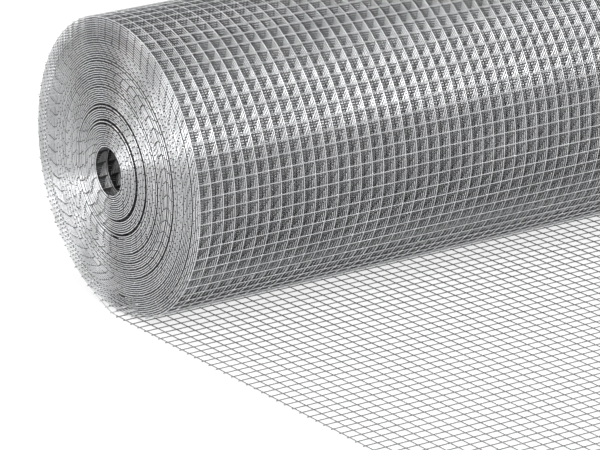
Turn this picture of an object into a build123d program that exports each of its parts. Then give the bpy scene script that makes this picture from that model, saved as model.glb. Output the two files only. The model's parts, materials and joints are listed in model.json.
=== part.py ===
from build123d import *
import math
import os

# Roll of welded wire mesh fencing, lying on its side with the end of the mesh run out flat in front of it.
# All sizes are in millimetres. +X runs along the roll's axis, +Z is up, the flat sheet runs out towards -Y.
# The origin is the middle of the whole part, at floor level.

# The mesh: galvanised wires welded in a square grid. Each wire of the flat sheet is a square bar here,
# as thick as the wire.
wire = 1.06
cell = 12.7
weld_set = 0.25

# The roll, as wide as a whole number of cells and open along its middle.
cells_wide = 48
roll_diameter = 289.8
bore_diameter = 48.8
turn_pitch = 2.2

# The winding starts off centre: its bore lies behind and below the middle of the roll.
bore_back = 13.8
bore_down = 6.9

# The first turns are wound about the bore, and the last ones about the middle of the roll.
# The slack crescent between the two windings is recessed on both ends.
inner_winding_diameter = 98
slack = 1.0

# The edge wire of each turn stands out of the end by this much, beyond the gap to the next turn.
turn_relief = 2.0

# The wound turns have crept this far along the axis from the edge of the flat sheet.
creep = 5.2

# The flat sheet, in strips of a few rows of cross wires. Some rows lie behind the line where the roll
# touches the sheet, and the nearest row in front of that line is row_setback away from it.
strips = 6
rows_per_strip = 8
rows_behind = 1
row_setback = 2.4

# Derived sizes.
roll_radius = roll_diameter / 2
bore_radius = bore_diameter / 2
inner_winding_radius = inner_winding_diameter / 2
outer_winding_start = inner_winding_radius + math.hypot(bore_back, bore_down) + slack
line_wires = cells_wide + 1
mesh_width = cells_wide * cell
roll_length = mesh_width + wire
sheet_thickness = 2 * wire - weld_set
strip_length = rows_per_strip * cell
rear_reach = (rows_behind + 0.5) * cell - row_setback
front_reach = strips * strip_length - rear_reach

# Places of the roll, its bore and the sheet.
touch_y = (front_reach - roll_radius) / 2
roll_z = sheet_thickness + roll_radius
bore_y = touch_y + bore_back
bore_z = roll_z - bore_down
roll_x = creep / 2
sheet_x = -creep / 2


def winding(inner_radius, outer_radius):
    """Turns wound about the X axis: one ring, with a round groove in both ends between neighbouring turns."""
    turns = int((outer_radius - inner_radius) / turn_pitch)
    end = [(roll_length / 2, outer_radius)]
    for turn in range(turns):
        crest = outer_radius - turn * turn_pitch
        end.append((roll_length / 2, crest - wire))
        end.append((roll_length / 2 - turn_relief, crest - wire))
        end.append((roll_length / 2 - turn_relief, crest - turn_pitch))
        end.append((roll_length / 2, crest - turn_pitch))
    end.append((roll_length / 2, inner_radius))
    other_end = [(-x, radius) for x, radius in reversed(end)]
    return revolve(make_face(Polyline(*end, *other_end, close=True)), Axis.X)


def disc(radius, length):
    """A plain round disc about the X axis."""
    return Rot(0, 90, 0) * Cylinder(radius, length)


def mesh_roll():
    """The wound roll as one round solid with its bore, and its turns standing out on both ends."""
    at_roll = Location((roll_x, touch_y, roll_z))
    at_bore = Location((roll_x, bore_y, bore_z))
    outer_turns = at_roll * winding(outer_winding_start, roll_radius)
    inner_turns = at_bore * winding(bore_radius, inner_winding_radius)
    crescent = at_roll * disc(outer_winding_start + wire / 2, roll_length - 2 * turn_relief)
    bore = at_bore * disc(bore_radius, 2 * roll_length)
    return outer_turns + (crescent - bore) + inner_turns


def sheet_strip():
    """One strip of the flat sheet: cross wires on the floor, with the line wires welded on top of them."""
    cross_wire = Pos(0, 0, wire / 2) * Box(mesh_width + wire, wire, wire)
    line_wire = Pos(0, 0, sheet_thickness - wire / 2) * Box(wire, strip_length, wire)
    bars = []
    for row in range(rows_per_strip):
        bars.append(Pos(0, (row - (rows_per_strip - 1) / 2) * cell, 0) * cross_wire)
    for line in range(line_wires):
        bars.append(Pos((line - (line_wires - 1) / 2) * cell, 0, 0) * line_wire)
    return bars[0].fuse(*bars[1:])


os.makedirs("parts", exist_ok=True)
export_step(mesh_roll(), "parts/mesh_roll.step", write_pcurves=False)
strip = sheet_strip()
for place in range(strips):
    strip_y = touch_y + rear_reach - (place + 0.5) * strip_length
    export_step(Pos(sheet_x, strip_y, 0) * strip, f"parts/sheet_strip_{place + 1}.step", write_pcurves=False)
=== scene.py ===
import json
import math
import bpy
import numpy as np
from mathutils import Matrix, Vector

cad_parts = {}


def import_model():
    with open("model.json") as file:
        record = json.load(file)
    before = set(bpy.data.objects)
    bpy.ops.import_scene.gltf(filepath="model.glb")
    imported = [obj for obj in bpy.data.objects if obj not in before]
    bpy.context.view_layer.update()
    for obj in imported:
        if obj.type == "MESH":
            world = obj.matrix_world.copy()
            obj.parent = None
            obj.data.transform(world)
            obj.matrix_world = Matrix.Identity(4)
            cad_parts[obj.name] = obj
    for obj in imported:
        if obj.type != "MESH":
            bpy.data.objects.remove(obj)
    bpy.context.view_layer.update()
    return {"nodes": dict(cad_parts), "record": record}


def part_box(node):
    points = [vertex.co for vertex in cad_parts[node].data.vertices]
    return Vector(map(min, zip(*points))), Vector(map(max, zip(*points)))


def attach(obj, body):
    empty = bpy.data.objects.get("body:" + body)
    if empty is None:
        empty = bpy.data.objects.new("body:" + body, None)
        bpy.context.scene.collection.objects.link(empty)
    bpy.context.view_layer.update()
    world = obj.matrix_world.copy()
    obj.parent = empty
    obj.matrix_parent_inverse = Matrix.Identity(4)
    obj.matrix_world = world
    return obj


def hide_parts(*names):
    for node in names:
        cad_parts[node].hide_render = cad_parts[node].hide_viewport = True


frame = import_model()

# Looks of a roll of galvanised welded square mesh, lying on a pale floor with its end run out flat.
# Metres, in the frame's own axes: +X along the roll, the flat sheet towards -Y, +Z up.

# Mesh: the wire, the cell, how deep the wires are welded into each other, how far the cross wires stand
# out past the edge, the short stretch at a cut end, and how unevenly the wires are cut
WIRE = 0.00106
CELL = 0.0127
WELD_SET = 0.00025
THICKNESS = 2 * WIRE - WELD_SET
STUB = 0.0009
CUT_EDGE = 0.0001
UNEVEN_CUT = 0.0005
FLAT_UNEVEN_CUT = 0.0004
FLAT_SIDES = 10

# Welds: the size of a lump, the least and most that it is stretched, and the most that it is turned
WELD_RADIUS = 0.0007
WELD_SMALLEST = (0.85, 0.8, 0.8)
WELD_LARGEST = (1.3, 1.05, 1.05)
WELD_MOST_TURNED = (math.tau, 0.4, 0.4)

# Places read from the frame
roll_low, roll_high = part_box("mesh_roll")
strip_names = sorted(name for name in frame["nodes"] if name.startswith("sheet_strip"))
strip_boxes = [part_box(name) for name in strip_names]
bore = next(mount for mount in frame["record"]["mounts"] if mount["name"] == "bore")
BORE_RADIUS = bore["dims"]["r_mm"] / 1000
BORE_CENTRE = Vector(bore["pos_m"])
ROLL_CENTRE = (roll_low + roll_high) / 2
ROLL_RADIUS = (roll_high.z - roll_low.z) / 2
SHEET_LEFT = min(low.x for low, high in strip_boxes) + WIRE / 2
SHEET_RIGHT = max(high.x for low, high in strip_boxes) - WIRE / 2
SHEET_FRONT = min(low.y for low, high in strip_boxes)
SHEET_BACK = max(high.y for low, high in strip_boxes)
ROLL_LEFT = roll_low.x + WIRE / 2
CREEP = ROLL_LEFT - SHEET_LEFT
CELLS_WIDE = round((SHEET_RIGHT - SHEET_LEFT) / CELL)
LINE_WIRES = CELLS_WIDE + 1
ROWS = round((SHEET_BACK - SHEET_FRONT) / CELL)

# Every random draw starts from this number.
SEED = 7

# The winding is drawn in parts that begin and end at these turns. The ringed turns have all their line
# wires, and the turns deeper in have those on a few planes at each end. The outermost turn is drawn a
# little past its end, and the last few turns line the bore.
OUTER_TURN_END = 1.02
DEEP_FROM_TURN = 4
RINGED_TURNS = 10
CORE_FROM_TURN = 38
BORE_TURNS = 2
RINGED_END_PLANES = 4

# Planes of line wires: the first one from the left, and how many.
FULL_WIDTH = (0, LINE_WIRES)
LEFT_EDGE = (0, 1)
LEFT_INNER = (1, RINGED_END_PLANES - 1)
RIGHT_END = (LINE_WIRES - RINGED_END_PLANES, RINGED_END_PLANES)

# Winding, from the line where it leaves the floor inwards. Each turn takes its own thickness and some
# slack, which is even on the outer turns and uneven deeper in. The slack lies on the roll's front, so it
# also carries the middle of the turns towards the bore. A few turns lie looser, each given here by the
# radius inside which it starts and its extra slack. A wound cell is a hair shorter than a flat one.
LINE_RADIUS_OUT = ROLL_RADIUS + WIRE / 2
CROSS_ABOVE_LINE = WIRE - WELD_SET
LINE_RADIUS_IN = BORE_RADIUS + WIRE / 2
WOUND_CELL = 0.012688
TURN_SLACK = 0.00015
OUTER_UNEVENNESS = 0.05
INNER_UNEVENNESS = 1.0
LOOSE_TURNS = {
    0.124: 0.0006, 0.108: 0.0006, 0.0995: 0.0007, 0.092: 0.0006,
    0.083: 0.0008, 0.065: 0.0019, 0.050: 0.0021,
}
SAMPLES_A_TURN = 360

# The cross wires take up their places within the first stretch of the winding, so that the lowest one in
# front comes at this angle from the floor line.
LOWEST_FRONT_CROSSING = math.radians(1.6)
TAKE_UP_LENGTH = 0.4

# The front of the outer turns has slid along the axis, most on the outermost turn, and more below than on
# top, with a soft step of this steepness between back and front. All but the first turns also lie a little
# unevenly. The winding gets from the flat sheet's edge to its own place within the first part of a turn.
SLID = 0.0032
SLID_MORE_BELOW = 0.0015
SLID_FROM_TURN = 0.5
SLID_TURNS = 7
SLID_STEEPNESS = 1.2
SIDEWAYS_UNEVENNESS = 0.0005
TRUE_TURNS = 4
LEAD_IN_TURN = 0.06
LEAD_IN_PARTS = 5


class Tree:
    """A node tree and one way of adding to it: node(type, settings, inputs)."""

    def __init__(self, tree):
        self.tree = tree

    def node(self, kind, settings=None, inputs=None):
        made = self.tree.nodes.new(kind)
        for name, value in (settings or {}).items():
            if name == "stops":
                ramp = made.color_ramp
                while len(ramp.elements) < len(value):
                    ramp.elements.new(0.5)
                for element, (place, colour) in zip(ramp.elements, value):
                    element.position = place
                    element.color = (*colour, 1)
            else:
                setattr(made, name, value)
        for name, value in (inputs or {}).items():
            self.feed(made.inputs[name], value)
        return made

    def feed(self, socket, value):
        if isinstance(value, Number):
            value = value.socket
        if isinstance(value, bpy.types.NodeSocket):
            self.tree.links.new(value, socket)
        else:
            socket.default_value = value


class Number:
    """A socket that carries a number, and Python's arithmetic on it."""

    def __init__(self, tree, socket):
        self.tree = tree
        self.socket = socket

    def math(self, operation, *others, first=None):
        values = [first if first is not None else self, *others]
        made = self.tree.node("ShaderNodeMath", {"operation": operation}, dict(enumerate(values)))
        return Number(self.tree, made.outputs[0])

    def __add__(self, other):
        return self.math("ADD", other)

    def __radd__(self, other):
        return self.math("ADD", self, first=other)

    def __sub__(self, other):
        return self.math("SUBTRACT", other)

    def __rsub__(self, other):
        return self.math("SUBTRACT", self, first=other)

    def __mul__(self, other):
        return self.math("MULTIPLY", other)

    def __rmul__(self, other):
        return self.math("MULTIPLY", self, first=other)

    def clamp(self, low=0.0, high=1.0):
        return self.math("MINIMUM", high).math("MAXIMUM", low)


# Winding as numbers

def turn_table():
    """Radius of the line wire and middle of the turn at each turn's start, from the outermost one in."""
    chance = np.random.default_rng(SEED)
    toward_bore = np.array([BORE_CENTRE.y - ROLL_CENTRE.y, BORE_CENTRE.z - ROLL_CENTRE.z])
    radius = LINE_RADIUS_OUT
    loose = dict(LOOSE_TURNS)
    radii = [radius]
    slacks = []
    while radius > LINE_RADIUS_IN:
        uneven = OUTER_UNEVENNESS if len(slacks) < RINGED_TURNS else INNER_UNEVENNESS
        slack = TURN_SLACK * chance.uniform(1 - uneven, 1 + uneven)
        for start in list(loose):
            if radius < start:
                slack += loose.pop(start)
        slacks.append(slack)
        radius -= THICKNESS + slack
        radii.append(radius)
    carried = np.concatenate([[0], np.cumsum(slacks)])
    share = carried / carried[-1]
    middles = share[:, None] * toward_bore
    return np.array(radii), middles


def sideways_table():
    """How far each turn lies to one side. The first few turns lie true."""
    chance = np.random.default_rng(SEED)
    sideways = chance.uniform(-SIDEWAYS_UNEVENNESS, SIDEWAYS_UNEVENNESS, len(RADII))
    sideways[:TRUE_TURNS] = 0
    return sideways


RADII, MIDDLES = turn_table()
SIDEWAYS = sideways_table()
TURNS = len(RADII) - 1


def wound(angle, above=0.0):
    """Points (y, z) at these angles, counted from the floor line back and up, and this far outside."""
    turn = np.asarray(angle) / (2 * math.pi)
    index = np.arange(len(RADII))
    radius = np.interp(turn, index, RADII) + above
    y = ROLL_CENTRE.y + np.interp(turn, index, MIDDLES[:, 0]) + radius * np.sin(angle)
    z = ROLL_CENTRE.z + np.interp(turn, index, MIDDLES[:, 1]) - radius * np.cos(angle)
    return np.stack([y, z], -1)


def smooth(x):
    """A soft step from 0 to 1."""
    x = np.clip(x, 0, 1)
    return x * x * (3 - 2 * x)


def slid(angle):
    """How far the winding has slid along the axis at these angles. It starts at the flat sheet's edge."""
    turn = np.asarray(angle) / (2 * math.pi)
    share = np.clip(1 - (turn - SLID_FROM_TURN) / SLID_TURNS, 0, 1)
    in_front = smooth(0.5 - SLID_STEEPNESS * np.sin(angle))
    outward = share * in_front * (SLID + SLID_MORE_BELOW * np.cos(angle))
    sideways = np.interp(turn, np.arange(len(SIDEWAYS)), SIDEWAYS)
    return outward + sideways - (CREEP + outward) * (1 - smooth(turn / LEAD_IN_TURN))


def wound_3d(angle, x, above=0.0):
    """Points (x, y, z) on the winding at these angles, for a wire whose place along the axis is x."""
    return np.column_stack([x + slid(angle), wound(angle, above)])


def crossings():
    """Angles of the cross wires along the winding, a cell apart along the line wire."""
    angle = np.linspace(0, 2 * math.pi * TURNS, TURNS * SAMPLES_A_TURN + 1)
    steps = np.linalg.norm(np.diff(wound(angle), axis=0), axis=1)
    length = np.concatenate([[0], np.cumsum(steps)])
    places = np.arange(SHEET_BACK - ROLL_CENTRE.y - CELL / 2, length[-1], WOUND_CELL)
    lowest_in_front = np.interp(2 * math.pi - LOWEST_FRONT_CROSSING, angle, length)
    shift = lowest_in_front - places[np.argmin(abs(places - lowest_in_front))]
    return np.interp(places + shift * smooth(places / TAKE_UP_LENGTH), length, angle)


CROSSING_ANGLES = crossings()
CROSSING_TURNS = CROSSING_ANGLES / (2 * math.pi)


def line_path(start_turn, end_turn, parts):
    """Angles of a line wire's points from one turn to another, with this many parts to a cell."""
    inside = CROSSING_ANGLES[(CROSSING_TURNS >= start_turn) & (CROSSING_TURNS <= end_turn)]
    steps = [np.linspace(a, b, parts, endpoint=False) for a, b in zip(inside[:-1], inside[1:])]
    return np.concatenate(steps + [inside[-1:]])


# Meshes

def mesh_object(name, vertices, edges=(), faces=()):
    mesh = bpy.data.meshes.new(name)
    mesh.from_pydata([tuple(v) for v in vertices], edges, faces)
    made = bpy.data.objects.new(name, mesh)
    bpy.context.scene.collection.objects.link(made)
    return made


def polylines(name, runs):
    """Open lines of points, with a very short stretch at both ends, so that the cut ends shade crisply."""
    points, edges = [], []
    for run in runs:
        run = np.array(run, dtype=float)
        first, last = run[1] - run[0], run[-2] - run[-1]
        near_first = run[0] + first * CUT_EDGE / np.linalg.norm(first)
        near_last = run[-1] + last * CUT_EDGE / np.linalg.norm(last)
        run = [run[0], near_first, *run[1:-1], near_last, run[-1]]
        edges += [(n, n + 1) for n in range(len(points), len(points) + len(run) - 1)]
        points += run
    return mesh_object(name, points, edges)


def straight_runs(name, starts, uneven):
    """Runs along the roll's axis from these starts (x, y, z), cut a little unevenly, for the cross wires."""
    chance = np.random.default_rng(SEED)
    runs = []
    for x, y, z in starts:
        left = x - WIRE / 2 - STUB + chance.uniform(-uneven, uneven)
        runs.append([(left, y, z), (left + CELLS_WIDE * CELL + WIRE + 2 * STUB, y, z)])
    return polylines(name, runs)


def nodes_tree(name, inputs):
    """An empty tree of geometry nodes with these named inputs, given as name: (socket type, value)."""
    group = bpy.data.node_groups.new(name, "GeometryNodeTree")
    group.interface.new_socket("Geometry", in_out="INPUT", socket_type="NodeSocketGeometry")
    group.interface.new_socket("Geometry", in_out="OUTPUT", socket_type="NodeSocketGeometry")
    for label, (kind, value) in inputs.items():
        socket = group.interface.new_socket(label, in_out="INPUT", socket_type="NodeSocket" + kind)
        if value is not None:
            socket.default_value = value
    tree = Tree(group)
    return tree, tree.node("NodeGroupInput").outputs, tree.node("NodeGroupOutput")


def finish_tree(tree, end, geometry, material):
    """The last steps that every tree shares: real meshes and a material."""
    real = tree.node("GeometryNodeRealizeInstances", None, {"Geometry": geometry})
    painted = tree.node("GeometryNodeSetMaterial", None, {"Geometry": real.outputs[0], "Material": material})
    tree.feed(end.inputs[0], painted.outputs[0])


def line_wire_tree():
    """Copies of one bent wire along its path, set side by side along the roll's axis."""
    tree, given, end = nodes_tree("line_wires", {
        "Wire Radius": ("Float", WIRE / 2), "Sides": ("Int", 6), "Count": ("Int", 1),
        "First": ("Float", 0.0), "Spacing": ("Float", CELL), "Material": ("Material", None)})
    path = tree.node("GeometryNodeMeshToCurve", None, {"Mesh": given["Geometry"]})
    section = tree.node("GeometryNodeCurvePrimitiveCircle", None,
                        {"Resolution": given["Sides"], "Radius": given["Wire Radius"]})
    wire = tree.node("GeometryNodeCurveToMesh", None, {
        "Curve": path.outputs[0], "Profile Curve": section.outputs[0], "Fill Caps": True})
    shaded = tree.node("GeometryNodeSetShadeSmooth", None, {"Geometry": wire.outputs[0]})
    start = tree.node("ShaderNodeCombineXYZ", None, {"X": given["First"]})
    step = tree.node("ShaderNodeCombineXYZ", None, {"X": given["Spacing"]})
    places = tree.node("GeometryNodeMeshLine", None, {
        "Count": given["Count"], "Start Location": start.outputs[0], "Offset": step.outputs[0]})
    copies = tree.node("GeometryNodeInstanceOnPoints", None,
                       {"Points": places.outputs[0], "Instance": shaded.outputs[0]})
    finish_tree(tree, end, copies.outputs[0], given["Material"])
    return tree.tree


def cross_wire_tree():
    """A round wire along every straight run of the given mesh."""
    tree, given, end = nodes_tree("cross_wires", {
        "Wire Radius": ("Float", WIRE / 2), "Sides": ("Int", 6), "Material": ("Material", None)})
    runs = tree.node("GeometryNodeMeshToCurve", None, {"Mesh": given["Geometry"]})
    section = tree.node("GeometryNodeCurvePrimitiveCircle", None,
                        {"Resolution": given["Sides"], "Radius": given["Wire Radius"]})
    wires = tree.node("GeometryNodeCurveToMesh", None, {
        "Curve": runs.outputs[0], "Profile Curve": section.outputs[0], "Fill Caps": True})
    shaded = tree.node("GeometryNodeSetShadeSmooth", None, {"Geometry": wires.outputs[0]})
    finish_tree(tree, end, shaded.outputs[0], given["Material"])
    return tree.tree


def weld_tree():
    """A lump of zinc on each given crossing, with its own size and turn."""
    tree, given, end = nodes_tree("welds", {
        "Radius": ("Float", WELD_RADIUS), "Seed": ("Int", SEED), "Material": ("Material", None)})
    ball = tree.node("GeometryNodeMeshIcoSphere", None, {"Radius": given["Radius"], "Subdivisions": 1})
    lump = tree.node("GeometryNodeSetShadeSmooth", None, {"Geometry": ball.outputs["Mesh"]})
    size = tree.node("FunctionNodeRandomValue", {"data_type": "FLOAT_VECTOR"}, {
        0: WELD_SMALLEST, 1: WELD_LARGEST, "Seed": given["Seed"]})
    turned = tree.node("FunctionNodeRandomValue", {"data_type": "FLOAT_VECTOR"}, {
        0: (0.0, 0.0, 0.0), 1: WELD_MOST_TURNED, "Seed": given["Seed"]})
    copies = tree.node("GeometryNodeInstanceOnPoints", None, {
        "Points": given["Geometry"], "Instance": lump.outputs[0],
        "Rotation": turned.outputs[0], "Scale": size.outputs[0]})
    finish_tree(tree, end, copies.outputs[0], given["Material"])
    return tree.tree


def grow(seed_object, group, name, values):
    """Runs a tree on an object and keeps the result as one plain mesh object."""
    modifier = seed_object.modifiers.new("nodes", "NODES")
    modifier.node_group = group
    for item in group.interface.items_tree:
        if item.in_out == "INPUT" and item.name in values:
            modifier[item.identifier] = values[item.name]
    seed_object.update_tag()
    bpy.context.view_layer.update()
    evaluated = seed_object.evaluated_get(bpy.context.evaluated_depsgraph_get())
    mesh = bpy.data.meshes.new_from_object(evaluated)
    mesh.name = name
    seed_object.modifiers.remove(modifier)
    bpy.data.objects.remove(seed_object)
    made = bpy.data.objects.new(name, mesh)
    bpy.context.scene.collection.objects.link(made)
    return made


# Materials

# Zinc: its greys, where they lie on the blend of two noises, and how much the roughness varies with it
ZINC_GREYS = ((0.54, 0.545, 0.555), (0.68, 0.685, 0.695), (0.78, 0.785, 0.795))
ZINC_STOPS = (0.35, 0.5, 0.68)
MOTTLE_SCALE = 420.0
PATCH_SCALE = 35.0
MOTTLE_SHARE = 0.6
ROUGHNESS_RANGE = 0.2
BUMP_STRENGTH = 0.08
BUMP_HEIGHT = 0.0001

# Painted shade for the unseen depths: two dark greys, where they lie on the noise, and its scale
DEPTHS_STOPS = ((0.3, (0.012, 0.012, 0.013)), (0.7, (0.05, 0.05, 0.053)))
DEPTHS_SCALE = 160.0

# The floor: its grey to the light that it throws back, its white, and how much of that white glows
FLOOR_GREY = (0.32, 0.32, 0.32, 1)
CHALK_WHITE = (0.95, 0.95, 0.95, 1)
FLOOR_GLOW = 0.8


def new_material(name):
    material = bpy.data.materials.new(name)
    material.use_nodes = True
    material.node_tree.nodes.clear()
    return material, Tree(material.node_tree)


def noise(tree, scale, detail):
    """Soft noise on the object's own coordinates."""
    place = tree.node("ShaderNodeTexCoord").outputs["Object"]
    made = tree.node("ShaderNodeTexNoise", None, {"Vector": place, "Scale": scale, "Detail": detail})
    return Number(tree, made.outputs["Fac"])


def zinc(name, brightness, roughness):
    """Hot-dip zinc on drawn wire: metal with a soft mottled sheen. Brightness 1 is its own colour; less
    paints shade.
    """
    material, tree = new_material(name)
    mottle = noise(tree, MOTTLE_SCALE, 3.0)
    patches = noise(tree, PATCH_SCALE, 2.0)
    blend = mottle * MOTTLE_SHARE + patches * (1 - MOTTLE_SHARE)
    greys = [tuple(brightness * part for part in grey) for grey in ZINC_GREYS]
    colour = tree.node("ShaderNodeValToRGB", {"stops": list(zip(ZINC_STOPS, greys))}, {"Fac": blend})
    rough = roughness + ROUGHNESS_RANGE / 2 - blend * ROUGHNESS_RANGE
    bump = tree.node("ShaderNodeBump", None, {
        "Strength": BUMP_STRENGTH, "Distance": BUMP_HEIGHT, "Height": blend})
    shader = tree.node("ShaderNodeBsdfPrincipled", None, {
        "Base Color": colour.outputs[0], "Metallic": 1.0, "Roughness": rough, "Normal": bump.outputs[0]})
    tree.node("ShaderNodeOutputMaterial", None, {"Surface": shader.outputs[0]})
    return material


def painted_shade_depths():
    """The unseen inner turns in painted shade: dull and dark, with the pattern of the cells lost in shade."""
    material, tree = new_material("unseen_turns")
    shade = noise(tree, DEPTHS_SCALE, 2.0)
    colour = tree.node("ShaderNodeValToRGB", {"stops": DEPTHS_STOPS}, {"Fac": shade})
    shader = tree.node("ShaderNodeBsdfPrincipled", None, {
        "Base Color": colour.outputs[0], "Metallic": 0.0, "Roughness": 0.8})
    tree.node("ShaderNodeOutputMaterial", None, {"Surface": shader.outputs[0]})
    return material


def pale_floor():
    """White with a trace of shadow where it is seen or mirrored, and mid grey to the light it throws back."""
    material, tree = new_material("pale_floor")
    rays = tree.node("ShaderNodeLightPath").outputs
    looking = [Number(tree, rays[f"Is {kind} Ray"]) for kind in ("Camera", "Glossy", "Transmission")]
    looked_at = sum(looking, 0.0).clamp()
    matt = tree.node("ShaderNodeBsdfDiffuse", None, {"Color": FLOOR_GREY})
    chalk = tree.node("ShaderNodeBsdfDiffuse", None, {"Color": CHALK_WHITE})
    glow = tree.node("ShaderNodeEmission", None, {"Color": (1, 1, 1, 1), "Strength": 1.0})
    white = tree.node("ShaderNodeMixShader", None, {0: FLOOR_GLOW, 1: chalk.outputs[0], 2: glow.outputs[0]})
    face = tree.node("ShaderNodeMixShader", None, {0: looked_at, 1: matt.outputs[0], 2: white.outputs[0]})
    tree.node("ShaderNodeOutputMaterial", None, {"Surface": face.outputs[0]})
    return material


# Pieces

ZINC = zinc("bright_zinc", 1.0, 0.35)
# Half-bright zinc: painted shade on the flat sheet and on the line wires of the bore
SHADED_ZINC = zinc("painted_shade_zinc", 0.5, 0.35)
# Dark zinc: painted shade on the wires inside the roll and across the bore
DEEP_SHADE_ZINC = zinc("painted_deep_shade_zinc", 0.26, 0.45)
# A dark matt grey that paints the shade of the unseen inner turns
PAINTED_SHADE_DEPTHS = painted_shade_depths()
LINE_TREE = line_wire_tree()
CROSS_TREE = cross_wire_tree()
WELD_TREE = weld_tree()
UNSEEN_FROM_BORE = 2.6 * THICKNESS
UNSEEN_BELOW_TURN = 0.001
UNSEEN_SIDES = 96


def wound_line_wires(name, start_turn, end_turn, parts, sides, planes, material):
    """Line wires of some turns on these planes. The outermost turn starts on the floor line."""
    first_wire, count = planes
    angles = line_path(start_turn, end_turn, parts)
    if start_turn == 0:
        angles = np.concatenate([np.linspace(0, angles[0], LEAD_IN_PARTS, endpoint=False), angles])
    seed = polylines(name, [wound_3d(angles, 0)])
    return grow(seed, LINE_TREE, name, {
        "Sides": sides, "Count": count, "First": ROLL_LEFT + first_wire * CELL, "Material": material})


def wound_cross_wires(name, start_turn, end_turn, sides, material):
    """Cross wires of some turns, over the whole width."""
    chosen = CROSSING_ANGLES[(CROSSING_TURNS > start_turn) & (CROSSING_TURNS <= end_turn)]
    seed = straight_runs(name, wound_3d(chosen, ROLL_LEFT, CROSS_ABOVE_LINE), UNEVEN_CUT)
    return grow(seed, CROSS_TREE, name, {"Sides": sides, "Material": material})


def wound_welds(name, start_turn, end_turn, wires):
    """Welds of some turns, on the line wires with these numbers."""
    chosen = CROSSING_ANGLES[(CROSSING_TURNS > start_turn) & (CROSSING_TURNS <= end_turn)]
    planes = [ROLL_LEFT + wire * CELL for wire in wires]
    points = np.concatenate([wound_3d(chosen, x, CROSS_ABOVE_LINE / 2) for x in planes])
    return grow(mesh_object(name, points), WELD_TREE, name, {"Material": ZINC})


def sheet_pieces():
    """The flat end of the mesh: line wires on top, cross wires on the floor and a weld on each crossing."""
    # The flat sheet's wires and welds take the half-bright zinc, which paints shade into them.
    line_z = THICKNESS - WIRE / 2
    lines = polylines("flat_line_wires", [[(0, SHEET_FRONT, line_z), (0, ROLL_CENTRE.y, line_z)]])
    lines = grow(lines, LINE_TREE, "flat_line_wires", {
        "Sides": FLAT_SIDES, "Count": LINE_WIRES, "First": SHEET_LEFT, "Material": SHADED_ZINC})
    rows = [SHEET_FRONT + (row + 0.5) * CELL for row in range(ROWS)]
    rows = [y for y in rows if y < ROLL_CENTRE.y]
    cross = straight_runs("flat_cross_wires", [(SHEET_LEFT, y, WIRE / 2) for y in rows], FLAT_UNEVEN_CUT)
    cross = grow(cross, CROSS_TREE, "flat_cross_wires", {"Sides": FLAT_SIDES, "Material": SHADED_ZINC})
    points = [(SHEET_LEFT + wire * CELL, y, THICKNESS / 2) for wire in range(LINE_WIRES) for y in rows]
    welds = grow(mesh_object("flat_welds", points), WELD_TREE, "flat_welds", {"Material": SHADED_ZINC})
    return lines, cross, welds


def unseen_turns():
    """The mass of turns behind the ones drawn wire by wire, open along the bore, in dark painted shade."""
    bore_middle = (BORE_CENTRE.y, BORE_CENTRE.z)
    outer_middle = MIDDLES[RINGED_TURNS] + (ROLL_CENTRE.y, ROLL_CENTRE.z)
    inner = BORE_RADIUS + UNSEEN_FROM_BORE
    outer = RADII[RINGED_TURNS] - UNSEEN_BELOW_TURN
    left = ROLL_LEFT + (RINGED_END_PLANES - 0.5) * CELL
    right = ROLL_LEFT + (CELLS_WIDE - RINGED_END_PLANES + 0.5) * CELL
    corners = ((left, inner, bore_middle), (left, outer, outer_middle),
               (right, outer, outer_middle), (right, inner, bore_middle))
    turned = np.arange(UNSEEN_SIDES) * math.tau / UNSEEN_SIDES
    rings = []
    for x, radius, middle in corners:
        rings.append(np.column_stack([np.full(UNSEEN_SIDES, x), middle[0] + radius * np.sin(turned),
                                      middle[1] - radius * np.cos(turned)]))
    faces = []
    for ring in range(len(corners)):
        this = ring * UNSEEN_SIDES
        following = (ring + 1) % len(corners) * UNSEEN_SIDES
        for n in range(UNSEEN_SIDES):
            after = (n + 1) % UNSEEN_SIDES
            faces.append((this + n, this + after, following + after, following + n))
    made = mesh_object("unseen_turns", np.concatenate(rings), (), faces)
    made.data.materials.append(PAINTED_SHADE_DEPTHS)
    return made


# Line wires: name, first and last turn, parts to a cell, sides of the wire, planes and zinc
# The half-bright zinc paints shade into the bore's line wires, and the dark zinc into the inner planes at the
# left end.
LINE_WIRE_PIECES = (
    ("outer_line_wires", 0, OUTER_TURN_END, 2, 6, FULL_WIDTH, ZINC),
    ("second_line_wires", 1, DEEP_FROM_TURN, 1, 6, FULL_WIDTH, ZINC),
    ("deep_line_wires", DEEP_FROM_TURN, RINGED_TURNS, 1, 4, FULL_WIDTH, ZINC),
    ("left_end_line_wires", RINGED_TURNS, CORE_FROM_TURN, 1, 6, LEFT_EDGE, ZINC),
    ("left_inner_line_wires", RINGED_TURNS, CORE_FROM_TURN, 1, 6, LEFT_INNER, DEEP_SHADE_ZINC),
    ("left_core_line_wires", CORE_FROM_TURN, TURNS, 3, 6, LEFT_EDGE, ZINC),
    ("left_bore_line_wires", CORE_FROM_TURN, TURNS, 3, 6, LEFT_INNER, SHADED_ZINC),
    ("right_end_line_wires", RINGED_TURNS, CORE_FROM_TURN, 1, 4, RIGHT_END, ZINC),
    ("right_core_line_wires", CORE_FROM_TURN, TURNS, 2, 4, RIGHT_END, ZINC),
)

# Cross wires: name, first and last turn, sides of the wire and zinc
# The dark zinc paints shade into the cross wires inside the roll and across the bore.
CROSS_WIRE_PIECES = (
    ("outer_cross_wires", 0, 1, 8, ZINC),
    ("inner_cross_wires", 1, TURNS - BORE_TURNS, 6, DEEP_SHADE_ZINC),
    ("bore_cross_wires", TURNS - BORE_TURNS, TURNS, 6, DEEP_SHADE_ZINC),
)

# The solids that a piece stands for
STANDS_FOR = {"outer_line_wires": ["mesh_roll"], "flat_line_wires": strip_names}

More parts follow.
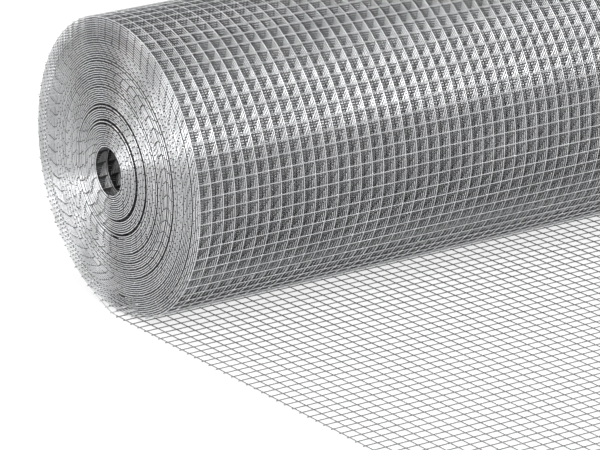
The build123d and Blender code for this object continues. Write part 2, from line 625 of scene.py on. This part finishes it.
pieces = [wound_line_wires(*piece) for piece in LINE_WIRE_PIECES]
pieces += [wound_cross_wires(*piece) for piece in CROSS_WIRE_PIECES]
pieces += [wound_welds("outer_welds", 0, OUTER_TURN_END, range(LINE_WIRES))]
pieces += [wound_welds("left_end_welds", 1, TURNS, [0])]
pieces += [unseen_turns(), *sheet_pieces()]

for piece in pieces:
    replaced = STANDS_FOR.get(piece.name, ())
    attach(piece, "root")
    if replaced:
        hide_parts(*replaced)


# Room

FLOOR_REACH = 60
FLOOR_BELOW = 0.0003
ROOM_LIGHT = 0.7

# Lights: azimuth and elevation in degrees, and power in watts
LIGHTS = {
    "front": (20, 28, 1150),
    "front_high": (20, 52, 620),
    "left": (80, 42, 540),
    "behind": (140, 55, 420),
    "top": (0, 90, 360),
}
LIGHT_DISTANCE = 12.0
LIGHT_SIZE = 3.6

# The camera: its azimuth, elevation and roll in degrees, and its lens and sensor in millimetres
CAMERA_PLACE = (-2.3441, -3.25431, 1.42444)
CAMERA_ANGLES = (32.8555, 18.3594, -1.1526)
CAMERA_LENS = 269.725
CAMERA_SENSOR = 36


def floor():
    """A wide pale floor, just below the wires that lie on it."""
    reach = FLOOR_REACH
    corners = [(-reach, -reach, 0), (reach, -reach, 0), (reach, reach, 0), (-reach, reach, 0)]
    made = mesh_object("floor", corners, (), [(0, 1, 2, 3)])
    made.location.z = -FLOOR_BELOW
    made.data.materials.append(pale_floor())


def soft_light(name, azimuth, elevation, power):
    """A far soft box that shines on the roll: azimuth 0 stands in front of the roll, 90 off its open end."""
    light = bpy.data.lights.new(name, "AREA")
    light.shape = "SQUARE"
    light.size = LIGHT_SIZE
    light.energy = power
    made = bpy.data.objects.new(name, light)
    bpy.context.scene.collection.objects.link(made)
    turned, raised = math.radians(azimuth), math.radians(elevation)
    level = math.cos(raised)
    direction = Vector((-math.sin(turned) * level, -math.cos(turned) * level, math.sin(raised)))
    made.location = ROLL_CENTRE + direction * LIGHT_DISTANCE
    made.rotation_euler = (-direction).to_track_quat("-Z", "Y").to_euler()


def world():
    """An even white room."""
    made = bpy.data.worlds.new("room")
    bpy.context.scene.world = made
    made.use_nodes = True
    made.node_tree.nodes.clear()
    tree = Tree(made.node_tree)
    light = tree.node("ShaderNodeBackground", None, {"Color": (1, 1, 1, 1), "Strength": ROOM_LIGHT})
    tree.node("ShaderNodeOutputWorld", None, {"Surface": light.outputs[0]})


def camera():
    """A long lens from the front left, looking down on the roll's open end."""
    made = bpy.data.objects.new("camera", bpy.data.cameras.new("camera"))
    bpy.context.scene.collection.objects.link(made)
    made.data.sensor_width = CAMERA_SENSOR
    made.data.lens = CAMERA_LENS
    made.data.clip_start = 0.1
    made.data.clip_end = 200
    azimuth, elevation, roll = (math.radians(a) for a in CAMERA_ANGLES)
    look = Vector((math.sin(azimuth) * math.cos(elevation), math.cos(azimuth) * math.cos(elevation),
                   -math.sin(elevation)))
    level = Vector((math.cos(azimuth), -math.sin(azimuth), 0))
    up = level.cross(look)
    right = level * math.cos(roll) + up * math.sin(roll)
    up = right.cross(look)
    turn = Matrix((right, up, -look)).transposed()
    made.matrix_world = Matrix.Translation(Vector(CAMERA_PLACE)) @ turn.to_4x4()
    bpy.context.scene.camera = made


floor()
world()
for light_name, (azimuth, elevation, power) in LIGHTS.items():
    soft_light(light_name, azimuth, elevation, power)
camera()
bpy.context.scene.view_settings.view_transform = "Standard"
